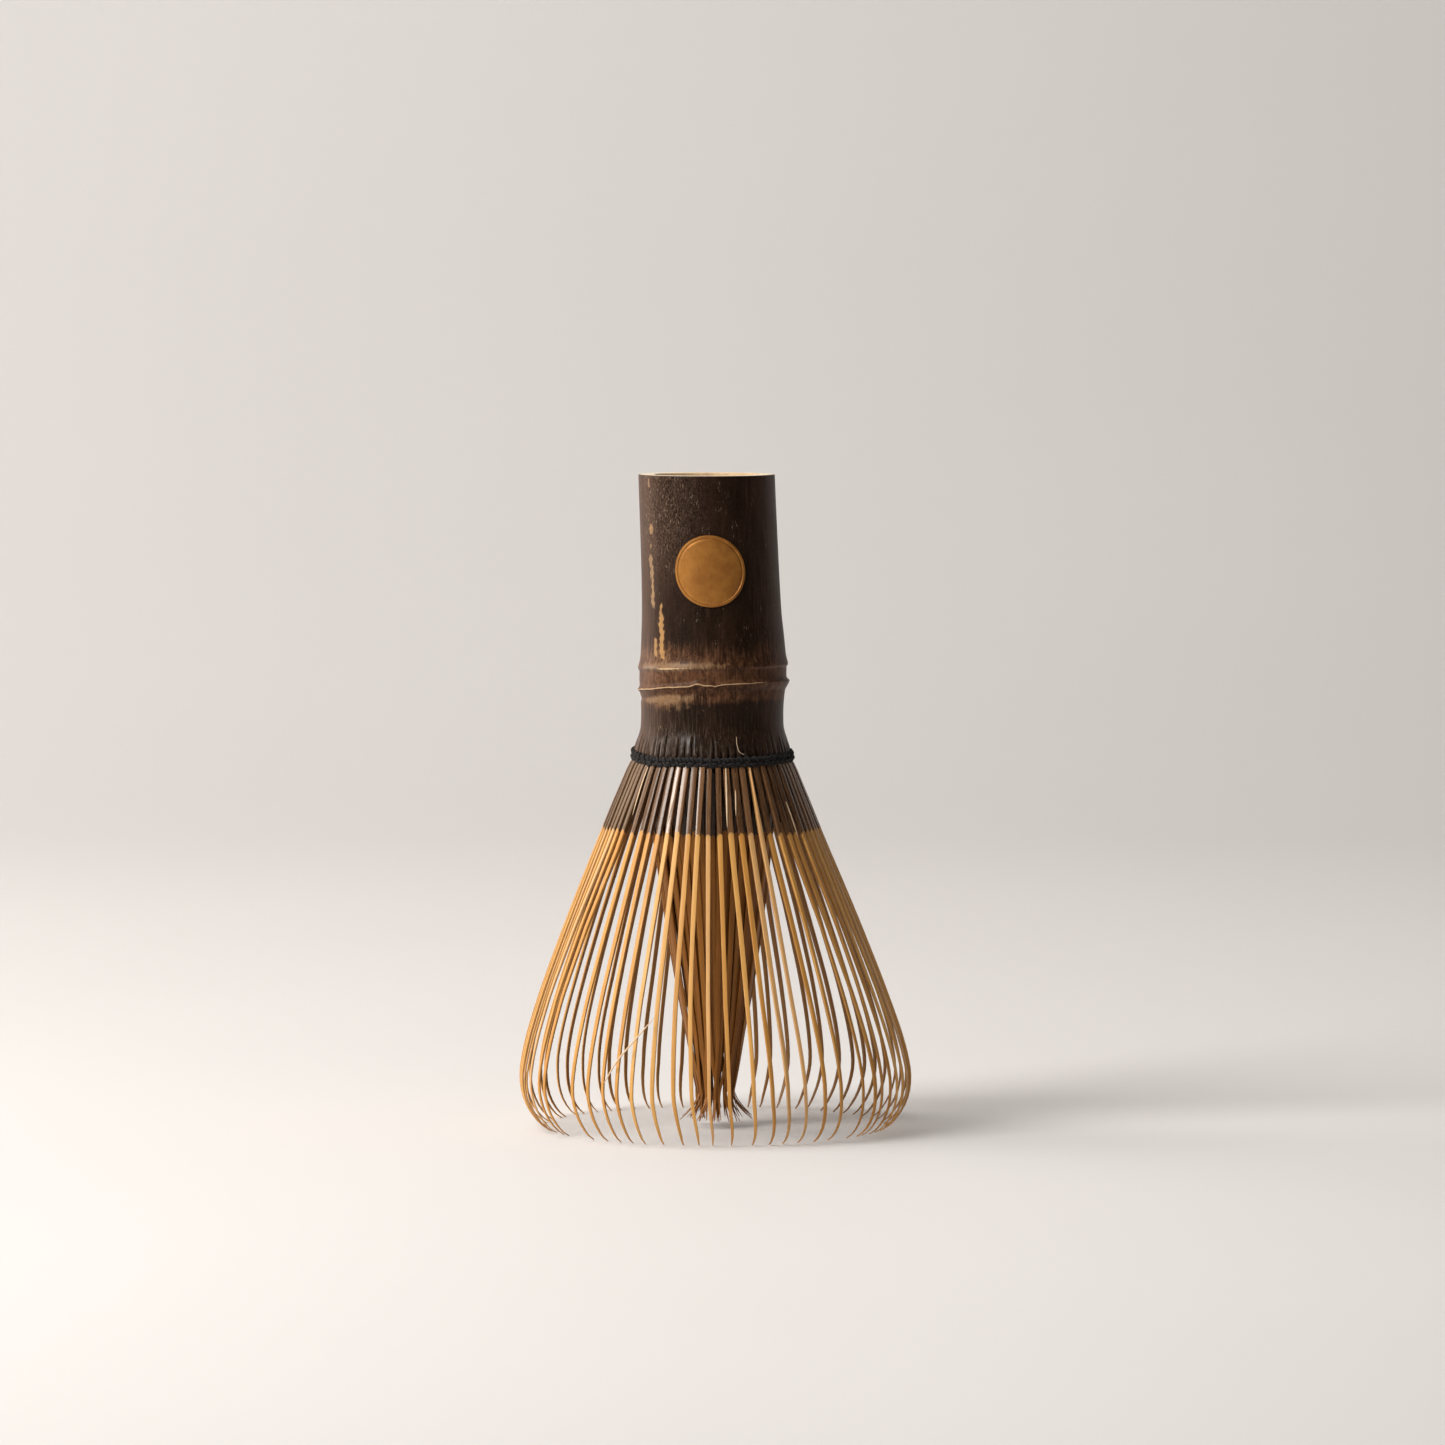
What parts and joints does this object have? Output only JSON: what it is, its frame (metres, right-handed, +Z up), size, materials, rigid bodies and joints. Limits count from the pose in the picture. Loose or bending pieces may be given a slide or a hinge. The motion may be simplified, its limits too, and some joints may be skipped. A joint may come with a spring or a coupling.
{
  "type": "bamboo tea whisk",
  "caption": "Bamboo tea whisk with a hollow dark handle, a thread binding, flexing pale outer tines round a gathered inner bundle, and a plain round gold seal.",
  "frame": {"origin": "on the surface that the outer tines' tips stand on, below the middle of the thread ring", "axes": "+Z up along the whisk from the tips to the cut end of the handle, -Y towards the gold seal on the front, +X to the right of someone facing the seal"},
  "size_m": [0.0686, 0.0686, 0.1135],
  "materials": {
    "bamboo_skin": "dark smoked bamboo skin, satin, mottled",
    "outer_bamboo": "split bamboo, bare and pale, smooth",
    "inner_bamboo": "split bamboo, darker with tea",
    "thread": "black twisted cotton thread",
    "gold": "matt gold leaf"
  },
  "bodies": {
    "handle": {"culm_handle": "bamboo_skin", "binding_thread": "thread", "thread_spacer_row": "thread", "gold_seal": "gold"},
    "outer_01": {"outer_tines_01": "outer_bamboo"},
    "outer_02": {"outer_tines_02": "outer_bamboo"},
    "outer_03": {"outer_tines_03": "outer_bamboo"},
    "outer_04": {"outer_tines_04": "outer_bamboo"},
    "outer_05": {"outer_tines_05": "outer_bamboo"},
    "outer_06": {"outer_tines_06": "outer_bamboo"},
    "outer_07": {"outer_tines_07": "outer_bamboo"},
    "outer_08": {"outer_tines_08": "outer_bamboo"},
    "outer_09": {"outer_tines_09": "outer_bamboo"},
    "outer_10": {"outer_tines_10": "outer_bamboo"},
    "outer_11": {"outer_tines_11": "outer_bamboo"},
    "outer_12": {"outer_tines_12": "outer_bamboo"},
    "outer_13": {"outer_tines_13": "outer_bamboo"},
    "outer_14": {"outer_tines_14": "outer_bamboo"},
    "outer_15": {"outer_tines_15": "outer_bamboo"},
    "outer_16": {"outer_tines_16": "outer_bamboo"},
    "inner_1": {"inner_tines_01": "inner_bamboo", "inner_tines_02": "inner_bamboo"},
    "inner_2": {"inner_tines_03": "inner_bamboo", "inner_tines_04": "inner_bamboo"},
    "inner_3": {"inner_tines_05": "inner_bamboo", "inner_tines_06": "inner_bamboo"},
    "inner_4": {"inner_tines_07": "inner_bamboo", "inner_tines_08": "inner_bamboo"},
    "inner_5": {"inner_tines_09": "inner_bamboo", "inner_tines_10": "inner_bamboo"},
    "inner_6": {"inner_tines_11": "inner_bamboo", "inner_tines_12": "inner_bamboo"},
    "inner_7": {"inner_tines_13": "inner_bamboo", "inner_tines_14": "inner_bamboo"},
    "inner_8": {"inner_tines_15": "inner_bamboo", "inner_tines_16": "inner_bamboo"}
  },
  "joints": [
    {"name": "outer_flex_01", "type": "hinge", "parent": "handle", "child": "outer_01", "pos_m": [0.01251, 0.00249, 0.065], "axis": [0.1951, -0.9808, 0], "range_deg": [-4, 6], "stiffness_Nm_per_rad": 0.02},
    {"name": "outer_flex_02", "type": "hinge", "parent": "handle", "child": "outer_02", "pos_m": [0.0106, 0.00708, 0.065], "axis": [0.5556, -0.8315, 0], "range_deg": [-4, 6], "stiffness_Nm_per_rad": 0.02},
    {"name": "outer_flex_03", "type": "hinge", "parent": "handle", "child": "outer_03", "pos_m": [0.00708, 0.0106, 0.065], "axis": [0.8315, -0.5556, 0], "range_deg": [-4, 6], "stiffness_Nm_per_rad": 0.02},
    {"name": "outer_flex_04", "type": "hinge", "parent": "handle", "child": "outer_04", "pos_m": [0.00249, 0.01251, 0.065], "axis": [0.9808, -0.1951, 0], "range_deg": [-4, 6], "stiffness_Nm_per_rad": 0.02},
    {"name": "outer_flex_05", "type": "hinge", "parent": "handle", "child": "outer_05", "pos_m": [-0.00249, 0.01251, 0.065], "axis": [0.9808, 0.1951, 0], "range_deg": [-4, 6], "stiffness_Nm_per_rad": 0.02},
    {"name": "outer_flex_06", "type": "hinge", "parent": "handle", "child": "outer_06", "pos_m": [-0.00708, 0.0106, 0.065], "axis": [0.8315, 0.5556, 0], "range_deg": [-4, 6], "stiffness_Nm_per_rad": 0.02},
    {"name": "outer_flex_07", "type": "hinge", "parent": "handle", "child": "outer_07", "pos_m": [-0.0106, 0.00708, 0.065], "axis": [0.5556, 0.8315, 0], "range_deg": [-4, 6], "stiffness_Nm_per_rad": 0.02},
    {"name": "outer_flex_08", "type": "hinge", "parent": "handle", "child": "outer_08", "pos_m": [-0.01251, 0.00249, 0.065], "axis": [0.1951, 0.9808, 0], "range_deg": [-4, 6], "stiffness_Nm_per_rad": 0.02},
    {"name": "outer_flex_09", "type": "hinge", "parent": "handle", "child": "outer_09", "pos_m": [-0.01251, -0.00249, 0.065], "axis": [-0.1951, 0.9808, 0], "range_deg": [-4, 6], "stiffness_Nm_per_rad": 0.02},
    {"name": "outer_flex_10", "type": "hinge", "parent": "handle", "child": "outer_10", "pos_m": [-0.0106, -0.00708, 0.065], "axis": [-0.5556, 0.8315, 0], "range_deg": [-4, 6], "stiffness_Nm_per_rad": 0.02},
    {"name": "outer_flex_11", "type": "hinge", "parent": "handle", "child": "outer_11", "pos_m": [-0.00708, -0.0106, 0.065], "axis": [-0.8315, 0.5556, 0], "range_deg": [-4, 6], "stiffness_Nm_per_rad": 0.02},
    {"name": "outer_flex_12", "type": "hinge", "parent": "handle", "child": "outer_12", "pos_m": [-0.00249, -0.01251, 0.065], "axis": [-0.9808, 0.1951, 0], "range_deg": [-4, 6], "stiffness_Nm_per_rad": 0.02},
    {"name": "outer_flex_13", "type": "hinge", "parent": "handle", "child": "outer_13", "pos_m": [0.00249, -0.01251, 0.065], "axis": [-0.9808, -0.1951, 0], "range_deg": [-4, 6], "stiffness_Nm_per_rad": 0.02},
    {"name": "outer_flex_14", "type": "hinge", "parent": "handle", "child": "outer_14", "pos_m": [0.00708, -0.0106, 0.065], "axis": [-0.8315, -0.5556, 0], "range_deg": [-4, 6], "stiffness_Nm_per_rad": 0.02},
    {"name": "outer_flex_15", "type": "hinge", "parent": "handle", "child": "outer_15", "pos_m": [0.0106, -0.00708, 0.065], "axis": [-0.5556, -0.8315, 0], "range_deg": [-4, 6], "stiffness_Nm_per_rad": 0.02},
    {"name": "outer_flex_16", "type": "hinge", "parent": "handle", "child": "outer_16", "pos_m": [0.01251, -0.00249, 0.065], "axis": [-0.1951, -0.9808, 0], "range_deg": [-4, 6], "stiffness_Nm_per_rad": 0.02},
    {"name": "inner_flex_1", "type": "hinge", "parent": "handle", "child": "inner_1", "pos_m": [0.01072, 0.00444, 0.065], "axis": [0.3827, -0.9239, 0], "range_deg": [0, 10], "stiffness_Nm_per_rad": 0.015},
    {"name": "inner_flex_2", "type": "hinge", "parent": "handle", "child": "inner_2", "pos_m": [0.00444, 0.01072, 0.065], "axis": [0.9239, -0.3827, 0], "range_deg": [0, 10], "stiffness_Nm_per_rad": 0.015},
    {"name": "inner_flex_3", "type": "hinge", "parent": "handle", "child": "inner_3", "pos_m": [-0.00444, 0.01072, 0.065], "axis": [0.9239, 0.3827, 0], "range_deg": [0, 10], "stiffness_Nm_per_rad": 0.015},
    {"name": "inner_flex_4", "type": "hinge", "parent": "handle", "child": "inner_4", "pos_m": [-0.01072, 0.00444, 0.065], "axis": [0.3827, 0.9239, 0], "range_deg": [0, 10], "stiffness_Nm_per_rad": 0.015},
    {"name": "inner_flex_5", "type": "hinge", "parent": "handle", "child": "inner_5", "pos_m": [-0.01072, -0.00444, 0.065], "axis": [-0.3827, 0.9239, 0], "range_deg": [0, 10], "stiffness_Nm_per_rad": 0.015},
    {"name": "inner_flex_6", "type": "hinge", "parent": "handle", "child": "inner_6", "pos_m": [-0.00444, -0.01072, 0.065], "axis": [-0.9239, 0.3827, 0], "range_deg": [0, 10], "stiffness_Nm_per_rad": 0.015},
    {"name": "inner_flex_7", "type": "hinge", "parent": "handle", "child": "inner_7", "pos_m": [0.00444, -0.01072, 0.065], "axis": [-0.9239, -0.3827, 0], "range_deg": [0, 10], "stiffness_Nm_per_rad": 0.015},
    {"name": "inner_flex_8", "type": "hinge", "parent": "handle", "child": "inner_8", "pos_m": [0.01072, -0.00444, 0.065], "axis": [-0.3827, -0.9239, 0], "range_deg": [0, 10], "stiffness_Nm_per_rad": 0.015}
  ]
}
